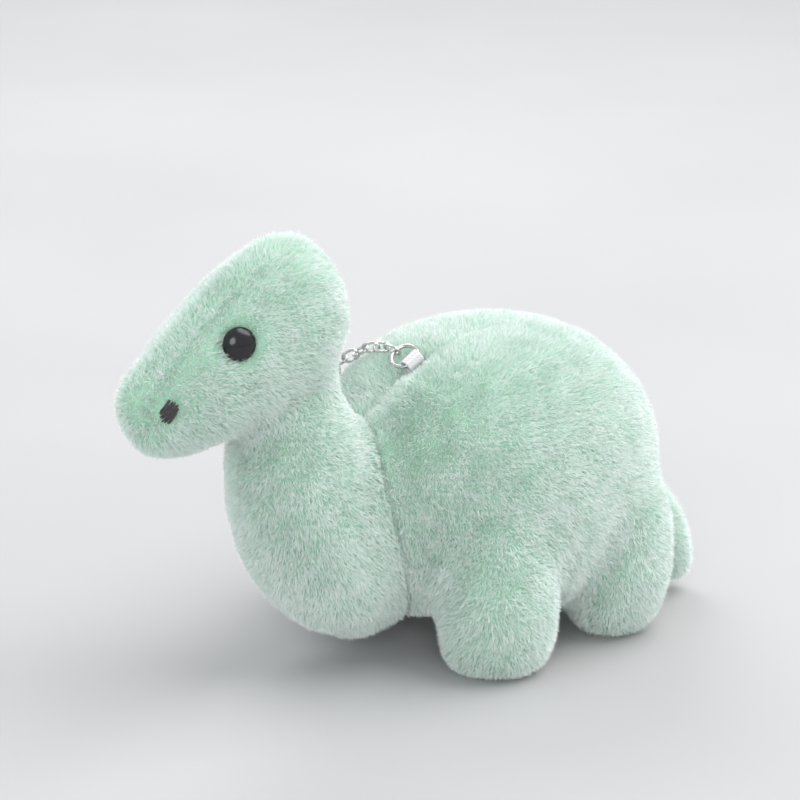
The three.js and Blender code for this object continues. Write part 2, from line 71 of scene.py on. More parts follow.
PILE_PER_SQUARE_METRE = 20e6
MOST_STRANDS = 98_000  # in one piece
PILE_LENGTH = 2.4 * MM
PILE_WIDTH = 0.15 * MM
PILE_LEAN = 25  # degrees from upright
TUFT = 1.5 * MM  # distance between the middles of neighbouring tufts
TUFT_SHUFFLE = ((12.9, 78.2, 37.7), (39.3, 11.1, 83.1), (73.1, 52.2, 9.1))  # any uneven numbers
SWIRL, SWIRL_SIZE = 0.45, 17 * MM  # how far the pile wanders from its way over broad patches
RUFFLE, RUFFLE_SIZE = 0.4, 5 * MM  # and over small ones
STRAY = 0.55  # and each strip by itself

GUSSET_HALF_WIDTH = 5 * MM  # of the strip along the top of the head
STITCH = 4.2 * MM  # length of one hand stitch, and so of one pucker
SEWN = {  # how deep the skin is drawn in at each seam, and how far to either side
    "back": (1.1 * MM, 1.6 * MM),
    "chest": (0.5 * MM, 1.5 * MM),
    "collar": (2.0 * MM, 1.7 * MM),
    "head": (1.1 * MM, 1.5 * MM),
    "belly": (0.9 * MM, 2.0 * MM),
    "leg": (1.8 * MM, 3.0 * MM),
}
PARTED_DEPTH = 1.6 * MM  # a seam as deep as this, or deeper, parts the pile fully
PARTED_REACH = 1.8 * MM  # to either side
FAR = 1.0  # the distance from a seam where that seam doesn't run

# Where the toy is filled out, or drawn in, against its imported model.
BELLY_MIDDLE = -8 * MM
BELLY_DROP = 8.5 * MM
BACK_RISE = 1.6 * MM
PUSHES = (  # middle, reach and push in millimetres
    ((0, -38, 106), 13, (0, -0.4, 1.9)),  # crown
    ((0, -21, 92), 13, (0, -1.6, 0)),  # nape
    ((0, -80, 78), 8, (0, -1.0, 1.2)),  # snout
)

EYE_SUNK = 0.35 * MM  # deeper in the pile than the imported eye
EYE_DOME = 0.8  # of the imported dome's height
THREAD = 0.2 * MM  # radius of the embroidery thread
STITCHES = 12  # in each nostril
TAPE_THICKNESS = 0.5 * MM

COVERS = {
    "head": ["head_top_panel", "head_side_left", "head_side_right"],
    "neck": ["neck_left", "neck_right"],
    "torso": ["body_side_left", "body_side_right", "belly_panel"],
    "leg_front_left": ["leg_front_left"],
    "leg_front_right": ["leg_front_right"],
    "leg_hind_left": ["leg_hind_left"],
    "leg_hind_right": ["leg_hind_right"],
    "tail": ["tail_cover"],
}
PARTS = list(COVERS)
STUFFING = [name for name in frame["nodes"] if "stuffing" in name]
LINKS = [f"chain_link_{i}" for i in range(1, 7)]


# ------------------------------------------------------------------ camera
def make_camera():
    """The camera at the photograph's viewing angle: from the toy's front left, a little above it."""
    place = Vector((0.6252, -0.4403, 0.3066))
    heading = Vector((-0.7799, 0.5461, -0.3057))
    data = bpy.data.cameras.new("camera")
    data.lens = 150.6
    data.sensor_width = 36
    data.clip_start = 0.05
    camera = bpy.data.objects.new("camera", data)
    camera.matrix_world = Matrix.Translation(place) @ heading.to_track_quat("-Z", "Y").to_matrix().to_4x4()
    bpy.context.scene.collection.objects.link(camera)
    bpy.context.scene.camera = camera


# ------------------------------------------------------------------ materials
def new_material(name, roughness=0.8, metallic=0.0, **sockets):
    """A Principled material with its uniform values on the shader's own sockets."""
    material = bpy.data.materials.new(name)
    material.use_nodes = True
    shader = material.node_tree.nodes["Principled BSDF"]
    shader.inputs["Roughness"].default_value = roughness
    shader.inputs["Metallic"].default_value = metallic
    for socket, value in sockets.items():
        shader.inputs[socket.replace("_", " ")].default_value = value
    return material, material.node_tree, shader


def add_node(tree, kind, **values):
    """A shader node with the given properties, or default input values where the key is an input's name."""
    node = tree.nodes.new(kind)
    for key, value in values.items():
        if key in node.inputs:
            node.inputs[key].default_value = value
        else:
            setattr(node, key, value)
    return node


def ramp(tree, source, stops):
    """A colour ramp over source, from (position, colour) stops."""
    node = tree.nodes.new("ShaderNodeValToRGB")
    elements = node.color_ramp.elements
    while len(elements) < len(stops):
        elements.new(0.5)
    for element, (position, colour) in zip(elements, stops):
        element.position = position
        element.color = (*colour, 1)
    tree.links.new(source, node.inputs["Fac"])
    return node.outputs["Color"]


def add_bump(tree, shader, height, strength, distance):
    bump = add_node(tree, "ShaderNodeBump", Strength=strength, Distance=distance)
    tree.links.new(height, bump.inputs["Height"])
    tree.links.new(bump.outputs["Normal"], shader.inputs["Normal"])


def mottled(tree, scale, detail=3.0):
    """Soft noise fixed to the object."""
    place = tree.nodes.new("ShaderNodeTexCoord")
    noise = add_node(tree, "ShaderNodeTexNoise", Scale=scale, Detail=detail)
    tree.links.new(place.outputs["Object"], noise.inputs["Vector"])
    return noise.outputs["Fac"]


MINT_DEEP = (0.40, 0.67, 0.49)
MINT_ROOT = (0.52, 0.795, 0.62)
MINT = (0.81, 0.93, 0.87)
MINT_TIP = (0.975, 0.958, 0.975)


def backing_material():
    """The knitted backing under the pile: close loops, deeper in colour than the fibre tips."""
    material, tree, shader = new_material("plush_backing", roughness=0.95, Sheen_Weight=0.2)
    colour = ramp(tree, mottled(tree, 900, 2), [(0.3, MINT_DEEP), (0.7, MINT_ROOT)])
    tree.links.new(colour, shader.inputs["Base Color"])
    add_bump(tree, shader, mottled(tree, 2500, 1), 0.5, 0.0002)
    return material


def pile_material():
    """Pile fibres: deeper at the root, pale at the tip, each lock a little lighter or darker."""
    material, tree, shader = new_material(
        "plush_pile", roughness=0.82, Sheen_Weight=0.35, Sheen_Roughness=0.4
    )
    along = add_node(tree, "ShaderNodeAttribute", attribute_name="along")
    tone = add_node(tree, "ShaderNodeAttribute", attribute_name="tone")
    length_colour = ramp(tree, along.outputs["Fac"], [(0.0, MINT_ROOT), (0.55, MINT), (1.0, MINT_TIP)])
    tone_colour = ramp(tree, tone.outputs["Fac"], [(0.0, (0.85, 0.93, 0.88)), (1.0, (1.0, 1.0, 1.0))])
    mixed = add_node(tree, "ShaderNodeMix", data_type="RGBA", blend_type="MULTIPLY")
    mixed.inputs["Factor"].default_value = 1
    tree.links.new(length_colour, mixed.inputs[6])
    tree.links.new(tone_colour, mixed.inputs[7])
    tree.links.new(mixed.outputs[2], shader.inputs["Base Color"])
    return material


def fibre_material():
    """Loose white polyester stuffing."""
    material, tree, shader = new_material("stuffing_fibre", roughness=1.0)
    colour = ramp(tree, mottled(tree, 260, 5), [(0.3, (0.78, 0.78, 0.76)), (0.7, (0.95, 0.95, 0.93))])
    tree.links.new(colour, shader.inputs["Base Color"])
    add_bump(tree, shader, mottled(tree, 700, 6), 0.8, 0.0008)
    return material


def eye_material():
    """Polished black plastic with the faintest mould texture."""
    material, tree, shader = new_material("eye_black")
    colour = ramp(tree, mottled(tree, 200), [(0.3, (0.004, 0.004, 0.005)), (0.8, (0.012, 0.012, 0.014))])
    tree.links.new(colour, shader.inputs["Base Color"])
    gloss = ramp(tree, mottled(tree, 500), [(0.3, (0.13, 0.13, 0.13)), (0.8, (0.20, 0.20, 0.20))])
    tree.links.new(gloss, shader.inputs["Roughness"])
    return material


def washer_material():
    """Moulded white plastic."""
    material, tree, shader = new_material("washer_white", roughness=0.5)
    colour = ramp(tree, mottled(tree, 400), [(0.3, (0.80, 0.80, 0.78)), (0.7, (0.88, 0.88, 0.86))])
    tree.links.new(colour, shader.inputs["Base Color"])
    return material


def thread_material():
    """Black rayon thread: fine twisted strands with a low sheen."""
    material, tree, shader = new_material("black_thread", roughness=0.5, Sheen_Weight=0.3)
    colour = ramp(tree, mottled(tree, 1500), [(0.3, (0.008, 0.007, 0.008)), (0.8, (0.045, 0.038, 0.042))])
    tree.links.new(colour, shader.inputs["Base Color"])
    add_bump(tree, shader, mottled(tree, 4000, 1), 0.6, 0.0001)
    return material


def tape_material():
    """Woven satin tape: fine ribs across its length and a pale, slightly lilac white."""
    material, tree, shader = new_material("woven_tape", roughness=0.55, Sheen_Weight=0.4)
    place = tree.nodes.new("ShaderNodeTexCoord")
    warp = add_node(tree, "ShaderNodeTexWave", bands_direction="X", Scale=420.0, Distortion=0.6)
    weft = add_node(tree, "ShaderNodeTexWave", bands_direction="Z", Scale=600.0, Distortion=0.6)
    weave = add_node(tree, "ShaderNodeMath", operation="MULTIPLY")
    for wave, socket in ((warp, 0), (weft, 1)):
        tree.links.new(place.outputs["Object"], wave.inputs["Vector"])
        tree.links.new(wave.outputs["Fac"], weave.inputs[socket])
    colour = ramp(tree, weave.outputs[0], [(0.0, (0.62, 0.60, 0.62)), (0.8, (0.86, 0.845, 0.86))])
    tree.links.new(colour, shader.inputs["Base Color"])
    add_bump(tree, shader, weave.outputs[0], 0.6, 0.0001)
    return material


def metal_material():
    """Bright nickel plating with faint handling marks."""
    material, tree, shader = new_material("nickel", metallic=1.0)
    colour = ramp(tree, mottled(tree, 700), [(0.3, (0.60, 0.58, 0.56)), (0.8, (0.80, 0.79, 0.78))])
    tree.links.new(colour, shader.inputs["Base Color"])
    gloss = ramp(tree, mottled(tree, 1800), [(0.3, (0.16, 0.16, 0.16)), (0.75, (0.34, 0.34, 0.34))])
    tree.links.new(gloss, shader.inputs["Roughness"])
    return material


# ------------------------------------------------------------------ mesh helpers
def new_object(name, vertices, faces, material):
    mesh = bpy.data.meshes.new(name)
    mesh.from_pydata(vertices, [], faces)
    mesh.update()
    mesh.shade_smooth()
    mesh.materials.append(material)
    made = bpy.data.objects.new(name, mesh)
    bpy.context.scene.collection.objects.link(made)
    return made


def triangles_object(name, vertices, faces, material):
    """A new object from arrays, for meshes too large for lists."""
    mesh = bpy.data.meshes.new(name)
    mesh.vertices.add(len(vertices))
    mesh.vertices.foreach_set("co", vertices.astype(np.float32).ravel())
    mesh.loops.add(faces.size)
    mesh.loops.foreach_set("vertex_index", faces.astype(np.int32).ravel())
    mesh.polygons.add(len(faces))
    mesh.polygons.foreach_set("loop_start", np.arange(0, faces.size, 3, dtype=np.int32))
    mesh.update(calc_edges=True)
    mesh.shade_smooth()
    mesh.materials.append(material)
    made = bpy.data.objects.new(name, mesh)
    bpy.context.scene.collection.objects.link(made)
    return made


def points_of(mesh):
    co = np.empty(len(mesh.vertices) * 3)
    mesh.vertices.foreach_get("co", co)
    return co.reshape(-1, 3)


def quads_of(mesh):
    corners = np.empty(len(mesh.loops), int)
    mesh.loops.foreach_get("vertex_index", corners)
    return corners.reshape(-1, 4)


def bell(away, reach, power=2):
    """1 where away is 0, and falling smoothly to 0 past reach."""
    return np.exp(-((away / reach) ** power))


def rising(values, start, over):
    """0 up to start, and straight up to 1 over the next stretch."""
    return np.clip((values - start) / over, 0, 1)


def falling(values, end, over):
    """1, and straight down to 0 over the last stretch before end."""
    return np.clip((end - values) / over, 0, 1)


def unit(vectors):
    return vectors / np.maximum(np.linalg.norm(vectors, axis=-1, keepdims=True), 1e-12)


def diagonal_products(co, quads):
    """The cross product of each quad's diagonals: along its normal, and twice its area long."""
    return np.cross(co[quads[:, 2]] - co[quads[:, 0]], co[quads[:, 3]] - co[quads[:, 1]])


def area_of(co, quads):
    return np.linalg.norm(diagonal_products(co, quads), axis=1).sum() / 2


def normals_of(co, quads):
    """Smooth vertex normals."""
    across = diagonal_products(co, quads)
    total = np.zeros_like(co)
    for corner in range(4):
        for axis in range(3):
            total[:, axis] += np.bincount(quads[:, corner], across[:, axis], len(co))
    return unit(total)


def relaxed(co, quads, times, strength):
    """Each vertex moves a share of the way to the middle of its neighbours, several times. The share
    is one number, or one for each vertex."""
    strength = np.broadcast_to(strength, len(co))[:, None]
    a = quads.ravel()
    b = np.roll(quads, -1, axis=1).ravel()
    count = np.bincount(a, minlength=len(co)) + np.bincount(b, minlength=len(co))
    for _ in range(times):
        middle = np.stack(
            [
                (np.bincount(a, co[b, k], len(co)) + np.bincount(b, co[a, k], len(co))) / count
                for k in range(3)
            ],
            axis=1,
        )
        co = co + strength * (middle - co)
    return co


def tree_of(nodes):
    """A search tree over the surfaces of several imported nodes."""
    vertices = []
    faces = []
    for name in nodes:
        mesh = frame["nodes"][name].data
        faces += [[len(vertices) + i for i in polygon.vertices] for polygon in mesh.polygons]
        vertices += [v.co.copy() for v in mesh.vertices]
    return BVHTree.FromPolygons(vertices, faces)


def distances(tree, co):
    return np.array([tree.find_nearest(Vector(p))[3] for p in co])


def waves(co, length, seed, count=6):
    """Smooth repeatable noise, mostly within -1 and 1: a sum of sine waves about length long, in random
    directions."""
    rng = np.random.default_rng(seed)
    total = np.zeros(len(co))
    for _ in range(count):
        direction = unit(rng.normal(size=3))
        size = length * rng.uniform(0.6, 1.6)
        total += np.sin(co @ direction * (2 * math.pi / size) + rng.uniform(0, 2 * math.pi))
    return total / count * 1.4


# ------------------------------------------------------------------ the skin
def closed_skin():
    """Every cover and its stuffing, joined and remeshed into one closed surface."""
    names = [name for part in PARTS for name in COVERS[part]] + STUFFING
    gathered = bmesh.new()
    for name in names:
        gathered.from_mesh(frame["nodes"][name].data)
    mesh = bpy.data.meshes.new("skin")
    gathered.to_mesh(mesh)
    gathered.free()
    skin = bpy.data.objects.new("skin", mesh)
    bpy.context.scene.collection.objects.link(skin)
    skin.data.remesh_voxel_size = SKIN_VOXEL
    bpy.context.view_layer.objects.active = skin
    with bpy.context.temp_override(object=skin, active_object=skin, selected_objects=[skin]):
        bpy.ops.object.voxel_remesh()
    return skin


def part_distances(co):
    """For each point, how far it is from each part's covers."""
    return np.stack([distances(tree_of(COVERS[part]), co) for part in PARTS], axis=1)


def merging(co):
    """How strongly the cloth is smoothed: most where a leg, the neck or the head runs into its neighbour."""
    away = part_distances(co)
    head, neck, torso = (away[:, PARTS.index(name)] for name in ("head", "neck", "torso"))
    share = np.zeros(len(co))
    over_feet = rising(co[:, 2], 15 * MM, 8 * MM)
    for part in PARTS:
        if part.startswith("leg"):
            most = 0.25 if "hind" in part else 1.0
            top = bell(np.maximum(away[:, PARTS.index(part)], torso), 8 * MM, 4)
            share = np.maximum(share, most * top * over_feet)
    collar = bell(np.maximum(neck, torso), 9 * MM, 4)
    nape = bell(np.maximum(neck, head), 9 * MM, 4) * rising(co[:, 1], -33 * MM, 6 * MM)
    return 0.5 * np.maximum(np.maximum(share, collar), nape)


def from_tape(co):
    """How far each point is from the middle of the tape loop."""
    low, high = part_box("tape_loop")
    return np.linalg.norm(co - np.array((low + high) / 2), axis=1)


def away_from(tree, co):
    """Unit vectors that point away from the nearest spot on a surface."""
    return unit(co - np.array([tree.find_nearest(Vector(p))[0] for p in co]))


# A seam over the skin's points: how far each point is from it, how deep the skin is drawn in at the seam,
# how far that reaches, and the way that leads off the seam.
Seam = namedtuple("Seam", "away depth reach off")


class Seams:
    """Where the seams run over the skin's points."""

    def __init__(self, co, normals):
        self.co = co
        self.normals = normals
        self.away = part_distances(co)
        self.owner = np.argmin(self.away, axis=1)
        self.sideways = np.stack([np.sign(co[:, 0]), 0 * co[:, 0], 0 * co[:, 0]], axis=1)
        self.lines = [
            self.along_back(),
            self.down_chest(),
            self.round_collar(),
            self.over_head(),
            self.round_belly(),
            self.beside_legs(),
        ]

    def on(self, part):
        return self.owner == PARTS.index(part)

    def from_part(self, part):
        return self.away[:, PARTS.index(part)]

    def lengthwise(self, where, middle, depth, reach):
        """Two seams from front to back at middle on either side, or one where middle is 0."""
        from_middle = np.abs(self.co[:, 0])
        off = self.sideways * np.sign(from_middle - middle)[:, None] if middle else self.sideways
        return Seam(np.where(where, np.abs(from_middle - middle), FAR), depth, reach, off)

    def along_back(self):
        """Drawn in most ahead of the tape, where the photograph shows it."""
        low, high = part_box("body_side_left")
        tight = np.where(self.co[:, 1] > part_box("tape_loop")[1].y, 0.55, 1.0)
        upper = self.co[:, 2] > (low.z + high.z) / 2
        depth, reach = SEWN["back"]
        return self.lengthwise(self.on("torso") & upper, 0, depth * tight, reach)

    def down_chest(self):
        return self.lengthwise(self.on("neck") & (self.normals[:, 1] < 0.3), 0, *SEWN["chest"])

    def over_head(self):
        up_or_ahead = self.normals[:, 2] - 0.5 * self.normals[:, 1] > 0.1
        return self.lengthwise(self.on("head") & up_or_ahead, GUSSET_HALF_WIDTH, *SEWN["head"])

    def round_belly(self):
        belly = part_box("belly_panel")[1]
        under = (self.co[:, 2] < belly.z + 6 * MM) & (self.normals[:, 2] < -0.2)
        return self.lengthwise(self.on("torso") & under, belly.x, *SEWN["belly"])

    def round_collar(self):
        """Where the neck is sewn to the torso."""
        neck, torso = self.from_part("neck"), self.from_part("torso")
        between = np.maximum(neck, torso) < 10 * MM
        off = np.where(
            self.on("neck")[:, None],
            away_from(tree_of(COVERS["torso"]), self.co),
            away_from(tree_of(COVERS["neck"]), self.co),
        )
        return Seam(np.where(between, np.abs(neck - torso), FAR), *SEWN["collar"], off)

    def beside_legs(self):
        """The creases behind the front legs and ahead of the hind legs. They don't part the pile."""
        torso = self.from_part("torso")
        nearest = np.full(len(self.co), FAR)
        for part in PARTS:
            if part.startswith("leg"):
                leg = self.from_part(part)
                low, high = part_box(part)
                inward = (self.co[:, 1] - (low.y + high.y) / 2) * (1 if "front" in part else -1)
                between = (np.maximum(leg, torso) < 7 * MM) & (inward > 0)
                nearest = np.where(between, np.minimum(nearest, np.abs(leg - torso)), nearest)
        depth, reach = SEWN["leg"]
        low_down = falling(self.co[:, 2], 38 * MM, 14 * MM)
        return Seam(nearest, depth * low_down, reach, 0 * self.sideways)

    def held(self, within):
        """The points on a seam."""
        return np.any([seam.away < within for seam in self.lines], axis=0)

    def depth(self):
        """How far each point is drawn in."""
        return np.max([seam.depth * bell(seam.away, seam.reach) for seam in self.lines], axis=0)

    def parting(self):
        """The way the pile is parted, as long as it is close to its seam, up to 1. Not round the tape."""
        total = np.zeros((len(self.owner), 3))
        for seam in self.lines:
            strength = np.minimum(1, np.max(seam.depth) / PARTED_DEPTH) * bell(seam.away, PARTED_REACH)
            total += strength[:, None] * seam.off
        total /= np.maximum(1, np.linalg.norm(total, axis=1, keepdims=True))
        return total * (1 - bell(from_tape(self.co), 7 * MM, 4))[:, None]


def plumped(co):
    """The stuffing fills out the belly's front, the valley along the back, the crown and the snout, and
    the nape is drawn in."""
    x, y, z = co.T
    along_belly = np.exp(-(((y - BELLY_MIDDLE) / (10 * MM)) ** 2) - (x / (24 * MM)) ** 4)
    drop = BELLY_DROP * along_belly * falling(z, 26 * MM, 14 * MM)
    ridge = bell(x, 7 * MM) * rising(z, 50 * MM, 6 * MM) * rising(y, -14 * MM, 8 * MM)
    rise = BACK_RISE * ridge * (1 - 0.6 * bell(from_tape(co), 6 * MM))
    co = co + (rise - drop)[:, None] * np.array((0, 0, 1))
    for middle, reach, push in PUSHES:
        away = np.linalg.norm(co - np.array(middle) * MM, axis=1)
        co = co + bell(away, reach * MM)[:, None] * np.array(push) * MM
    return co


def swollen(skin, held):
    """The skin blown up as cloth by the stuffing's pressure, held down at the seams."""
    rest = points_of(skin.data)
    group = skin.vertex_groups.new(name="seams")
    group.add([int(i) for i in np.flatnonzero(held)], 1.0, "REPLACE")
    cloth = skin.modifiers.new("cloth", "CLOTH")
    settings = cloth.settings
    settings.vertex_group_mass = "seams"
    settings.use_pressure = True
    settings.uniform_pressure_force = PRESSURE
    settings.effector_weights.gravity = 0
    cloth.collision_settings.use_collision = False
    scene = bpy.context.scene
    for number in range(1, SWELL_FRAMES + 1):
        scene.frame_set(number)
    evaluated = skin.evaluated_get(bpy.context.evaluated_depsgraph_get())
    moved = points_of(evaluated.data) - rest
    skin.modifiers.remove(cloth)
    scene.frame_set(1)
    size = np.linalg.norm(moved, axis=1, keepdims=True)
    return rest + moved * np.minimum(1, MOST_SWELL / np.maximum(size, 1e-9))


def subdivided(skin):
    modifier = skin.modifiers.new("finer", "SUBSURF")
    modifier.levels = 1
    evaluated = skin.evaluated_get(bpy.context.evaluated_depsgraph_get())
    finer = bpy.data.meshes.new_from_object(evaluated)
    skin.modifiers.remove(modifier)
    return points_of(finer), quads_of(finer)


def sewn_down(co, quads):
    """The skin drawn in along its seams, deeper at each stitch."""
    normals = normals_of(co, quads)
    seams = Seams(co, normals)
    pucker = 0.78 + 0.22 * np.sin((co[:, 1] + co[:, 2]) * (2 * math.pi / STITCH))
    lumps = 0.22 * MM * waves(co, 13 * MM, seed=3)
    return co - normals * (seams.depth() * pucker - lumps)[:, None], seams


def raised_to_eyes(co):
    """The cloth comes up to the back of each eye and nostril, which it is fastened to."""
    for spot in EYES + NOSTRILS:
        away = np.linalg.norm(co - spot.seat, axis=1)
        co = co + (spot.lift * bell(away, spot.radius * 1.5))[:, None] * np.array(spot.axis)
    return co


# ------------------------------------------------------------------ pile
def samples(co, quads, fields, count, rng):
    """Random points spread evenly over quads, and the values there of fields on the vertices."""
    triangles = np.concatenate([quads[:, [0, 1, 2]], quads[:, [0, 2, 3]]])
    a, b, c = (co[triangles[:, k]] for k in range(3))
    area = np.linalg.norm(np.cross(b - a, c - a), axis=1)
    chosen = triangles[rng.choice(len(triangles), count, p=area / area.sum())]
    u, v = rng.random((2, count))
    flip = u + v > 1
    u[flip], v[flip] = 1 - u[flip], 1 - v[flip]
    weights = np.stack([1 - u - v, u, v], axis=1)[:, :, None]
    return [(values[chosen] * weights).sum(1) for values in [co, *fields]]


def flow(part, roots):
    """The way the pile lies, before it is laid on the surface."""
    sideways = np.sign(roots[:, 0])
    ones = np.ones(len(roots))
    if part == "head":
        way = [0.35 * sideways, 0.75 * ones, 0.05 * ones]
    elif part == "neck":
        way = [0.25 * sideways, 0.25 * ones, -0.9 * ones]
    elif part == "torso":
        way = [0.25 * sideways, 0.55 * ones, -0.6 * ones]
    elif part == "tail":
        way = [0.1 * ones, 0.6 * ones, -0.7 * ones]
    else:
        way = [0.1 * sideways, 0.1 * ones, -np.clip((roots[:, 2] - 2 * MM) / (8 * MM), -0.4, 1)]
    return np.stack(way, axis=1)


def tuft_centres(points):
    """The middle of the tuft that each point belongs to: one shifted point in each cell of a grid."""
    cell = np.floor(points / TUFT)
    turn = np.stack([cell @ np.array(row) for row in TUFT_SHUFFLE], axis=1)
    shift = np.sin(turn * 1.7) * 43758.5
    return (cell + 0.5 + 0.45 * (shift - np.floor(shift) - 0.5) * 2) * TUFT


def make_room(roots, way, lean, length):
    """Pile beside an eye or a nostril is pushed aside, stands up and is shorter. Under one there is none:
    the points to keep are returned."""
    keep = np.ones(len(roots), bool)
    for spot in EYES + NOSTRILS:
        offset = roots - spot.seat
        level = offset @ np.array(spot.axis)
        offset -= level[:, None] * np.array(spot.axis)
        away = np.linalg.norm(offset, axis=1)
        beside = np.abs(level) < 7 * MM
        near = bell(np.maximum(away - spot.radius, 0), 1.4 * MM) * beside
        way += 1.3 * near[:, None] * unit(offset)
        lean -= 16 * near
        length *= 1 - spot.shorter * near
        keep &= ~((away < spot.radius * 0.97) & beside)
    return keep


def lay_pile(part, roots, upward, parted, rng):
    """For each strip the way it leans, how far, its length, and whether it is kept."""
    count = len(roots)
    swirl = np.stack([waves(roots, SWIRL_SIZE, 20 + k) for k in range(3)], axis=1)
    ruffle = np.stack([waves(roots, RUFFLE_SIZE, 30 + k) for k in range(3)], axis=1)
    way = flow(part, roots) + SWIRL * swirl + RUFFLE * ruffle + STRAY * rng.normal(size=(count, 3))
    close = np.linalg.norm(parted, axis=1)
    way = way * (1 - 0.6 * close)[:, None] + 1.3 * parted
    lean = PILE_LEAN + 9 * waves(roots, 7 * MM, 41) + 8 * rng.normal(size=count) + 14 * close
    length = PILE_LENGTH * (1 + 0.06 * waves(roots, 6 * MM, 42) + 0.12 * rng.normal(size=count))
    length *= 1 - 0.40 * close
    keep = make_room(roots, way, lean, length)
    way -= (way * upward).sum(1)[:, None] * upward
    return unit(way), np.radians(np.clip(lean, 5, 70))[:, None], length[:, None], keep


def bent_strips(roots, upward, along, lean, length, rng):
    """Each strip's four corners: its root, the two sides of its middle and its tip, drawn to its tuft."""
    steep = upward * np.cos(lean * 0.6) + along * np.sin(lean * 0.6)
    flat = upward * np.cos(lean * 1.4) + along * np.sin(lean * 1.4)
    middles = roots + steep * length * 0.55
    tips = middles + flat * length * 0.45
    pull = tuft_centres(tips) - tips
    pull -= (pull * upward).sum(1)[:, None] * upward
    tips += 0.26 * pull
    middles += 0.06 * pull
    side = unit(np.cross(flat, upward) + 0.6 * rng.normal(size=(len(roots), 3)))
    width = (PILE_WIDTH * (1 + 0.2 * rng.normal(size=len(roots))))[:, None] / 2
    return np.stack([roots, middles - side * width, middles + side * width, tips], axis=1)


def grow_pile(name, part, co, quads, normals, parting, material, seed):
    """One mesh of thin strips, pointed at both ends and bent in the middle, rooted in the backing."""
    rng = np.random.default_rng(seed)
    wanted = min(int(area_of(co, quads) * PILE_PER_SQUARE_METRE), MOST_STRANDS)
    count = wanted
    roots, upward, parted = samples(co, quads, [normals, parting], count, rng)
    upward = unit(upward)
    along, lean, length, keep = lay_pile(part, roots, upward, parted, rng)
    strips = bent_strips(roots, upward, along, lean, length, rng)[keep]
    number = len(strips)
    vertices = strips.reshape(-1, 3)
    vertices[:, 2] = np.maximum(vertices[:, 2], FLOOR_GAP)
    faces = (np.arange(number)[:, None, None] * 4 + np.array([[0, 1, 2], [1, 3, 2]])).reshape(-1, 3)
    pile = triangles_object(name, vertices, faces, material)
    tone = 0.5 + 0.28 * waves(roots, 8 * MM, 51) + 0.16 * rng.normal(size=count)
    for label, values in (
        ("along", np.tile([0.0, 0.6, 0.6, 1.0], number)),
        ("tone", np.repeat(np.clip(tone[keep], 0, 1), 4)),
    ):
        pile.data.attributes.new(label, "FLOAT", "POINT").data.foreach_set("value", values.astype(np.float32))
    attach(pile, "toy")


def pile_fields(part, middle):
    """A part's pile is one or more pieces: each one's label, and which quads it grows on."""
    if part not in ("torso", "head", "neck"):
        return {"": np.ones(len(middle), bool)}
    fields = {"_left": middle[:, 0] >= 0, "_right": middle[:, 0] < 0}
    if part == "torso":
        half = np.median(middle[:, 1])
        fields = {
            label + end: chosen & ((middle[:, 1] < half) == (end == "_front"))
            for label, chosen in fields.items()
            for end in ("_front", "_rear")
        }
    return fields


def shaped_skin():
    """The sewn and stuffed cloth: its points, its quads and its seams."""
    skin = closed_skin()
    quads = quads_of(skin.data)
    co = relaxed(points_of(skin.data), quads, 3, 0.5)
    co = co - normals_of(co, quads) * SKIN_INSET
    co = relaxed(co, quads, MERGING_PASSES, merging(co))
    co = plumped(co)
    skin.data.vertices.foreach_set("co", co.ravel())
    skin.data.update()
    co = swollen(skin, Seams(co, normals_of(co, quads)).held(0.7 * SKIN_VOXEL))
    skin.data.vertices.foreach_set("co", relaxed(co, quads, 1, 0.4).ravel())
    skin.data.update()
    co, quads = subdivided(skin)
    bpy.data.objects.remove(skin)
    co, seams = sewn_down(co, quads)
    co = raised_to_eyes(co)
    co[:, 2] = np.maximum(co[:, 2], SOLE_GAP)
    return co, quads, seams


def owners_of(quads, seams):
    """The part that each quad belongs to: the one that most of its corners are on."""
    votes = np.zeros((len(quads), len(PARTS)), int)
    for corner in range(4):
        votes[np.arange(len(quads)), seams.owner[quads[:, corner]]] += 1
    return np.argmax(votes, axis=1)


def dress_toy():
    """The padded pieces, the stuffing in them and their pile."""
    backing = backing_material()
    pile = pile_material()
    co, quads, seams = shaped_skin()
    normals = normals_of(co, quads)
    filling = new_object("filling", co - normals * BACKING, quads, fibre_material())
    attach(filling, "toy")
    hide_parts(*STUFFING)
    parting = seams.parting()
    belongs = owners_of(quads, seams)
    seed = 100
    for index, part in enumerate(PARTS):
        mine = quads[belongs == index]
        used, compact = np.unique(mine, return_inverse=True)
        piece = new_object(f"{part}_plush", co[used], compact.reshape(-1, 4), backing)
        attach(piece, "toy")
        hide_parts(*COVERS[part])
        for label, chosen in pile_fields(part, co[mine].mean(1)).items():
            seed += 1
            grow_pile(f"{part}_pile{label}", part, co, mine[chosen], normals, parting, pile, seed)


# ------------------------------------------------------------------ eyes and nostrils
def node_points(name):
    return np.array([v.co for v in frame["nodes"][name].data.vertices])


class Eye:
    """Where a packed eye is: its axis, its flange's middle and its sizes."""

    def __init__(self, side):
        self.name = f"eye_{side}"
        points = node_points(self.name)
        inner = node_points(f"eye_washer_{side}").mean(0)
        self.axis = Vector(unit(points.mean(0) - inner))
        along = (points - inner) @ np.array(self.axis)
        radial = np.linalg.norm((points - inner) - along[:, None] * np.array(self.axis), axis=1)
        self.radius = radial.max()
        rim = along[radial > self.radius * 0.98]
        self.flange = Vector(inner) + self.axis * (float(rim.min()) - EYE_SUNK)
        self.height = float(along.max() - rim.min()) * EYE_DOME
        self.shank = float(rim.min() - along.min())
        self.seat = np.array(self.flange)
        self.lift = 1.1 * MM  # of the cloth towards it
        self.shorter = 0.05  # share that the pile beside it loses


